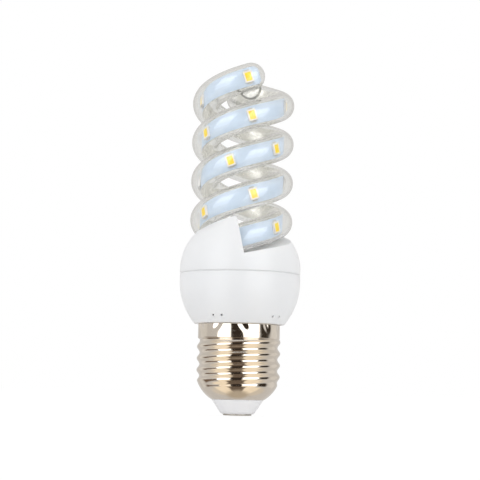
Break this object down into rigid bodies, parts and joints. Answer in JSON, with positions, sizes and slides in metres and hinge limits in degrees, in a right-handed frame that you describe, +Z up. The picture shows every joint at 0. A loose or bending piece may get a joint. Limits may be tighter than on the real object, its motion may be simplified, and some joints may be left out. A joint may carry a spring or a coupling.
{
  "type": "spiral led bulb",
  "caption": "Screw-in bulb: a clear double spiral tube with LED strips inside, on a white housing with a nickel-plated 27 mm screw cap",
  "frame": {"origin": "The tip of the centre contact, on the bulb's axis", "axes": "+Z up the bulb's axis, -Y the front, +X to the right seen from the front"},
  "size_m": [0.038, 0.038, 0.1097],
  "materials": {
    "clear_tube": "clear, polished",
    "strip_face": "satin",
    "led_package": "satin",
    "phosphor": "smooth",
    "white_housing": "fine satin",
    "nickel_shell": "bright, rolled",
    "cap_insulator": "smooth",
    "centre_contact": "dull",
    "circuit_board": "satin",
    "capacitor_sleeve": "smooth",
    "film_capacitor": "smooth",
    "ferrite": "matte",
    "resistor": "matte",
    "black_epoxy": "matte",
    "wire_sleeve": "smooth"
  },
  "bodies": {
    "root": {"spiral_tube": "clear_tube", "upper_cover": "white_housing", "lower_housing": "white_housing", "screw_shell": "nickel_shell", "cap_insulator": "cap_insulator", "centre_contact": "centre_contact", "driver_board": "circuit_board", "electrolytic_capacitor": "capacitor_sleeve", "film_capacitor": "film_capacitor", "inductor": "ferrite", "fuse_resistor": "resistor", "bridge_rectifier": "black_epoxy", "driver_chip": "black_epoxy", "neutral_wire": "wire_sleeve", "led_strip_a": "strip_face", "led_strip_b": "strip_face", "strip_lead_a": "wire_sleeve", "strip_lead_b": "wire_sleeve", "led_a_01": "led_package", "phosphor_a_01": "phosphor", "led_a_02": "led_package", "phosphor_a_02": "phosphor", "led_a_03": "led_package", "phosphor_a_03": "phosphor", "led_a_04": "led_package", "phosphor_a_04": "phosphor", "led_a_05": "led_package", "phosphor_a_05": "phosphor", "led_a_06": "led_package", "phosphor_a_06": "phosphor", "led_a_07": "led_package", "phosphor_a_07": "phosphor", "led_a_08": "led_package", "phosphor_a_08": "phosphor", "led_a_09": "led_package", "phosphor_a_09": "phosphor", "led_a_10": "led_package", "phosphor_a_10": "phosphor", "led_b_01": "led_package", "phosphor_b_01": "phosphor", "led_b_02": "led_package", "phosphor_b_02": "phosphor", "led_b_03": "led_package", "phosphor_b_03": "phosphor", "led_b_04": "led_package", "phosphor_b_04": "phosphor", "led_b_05": "led_package", "phosphor_b_05": "phosphor", "led_b_06": "led_package", "phosphor_b_06": "phosphor", "led_b_07": "led_package", "phosphor_b_07": "phosphor", "led_b_08": "led_package", "phosphor_b_08": "phosphor", "led_b_09": "led_package", "phosphor_b_09": "phosphor", "led_b_10": "led_package", "phosphor_b_10": "phosphor"}
  },
  "joints": []
}
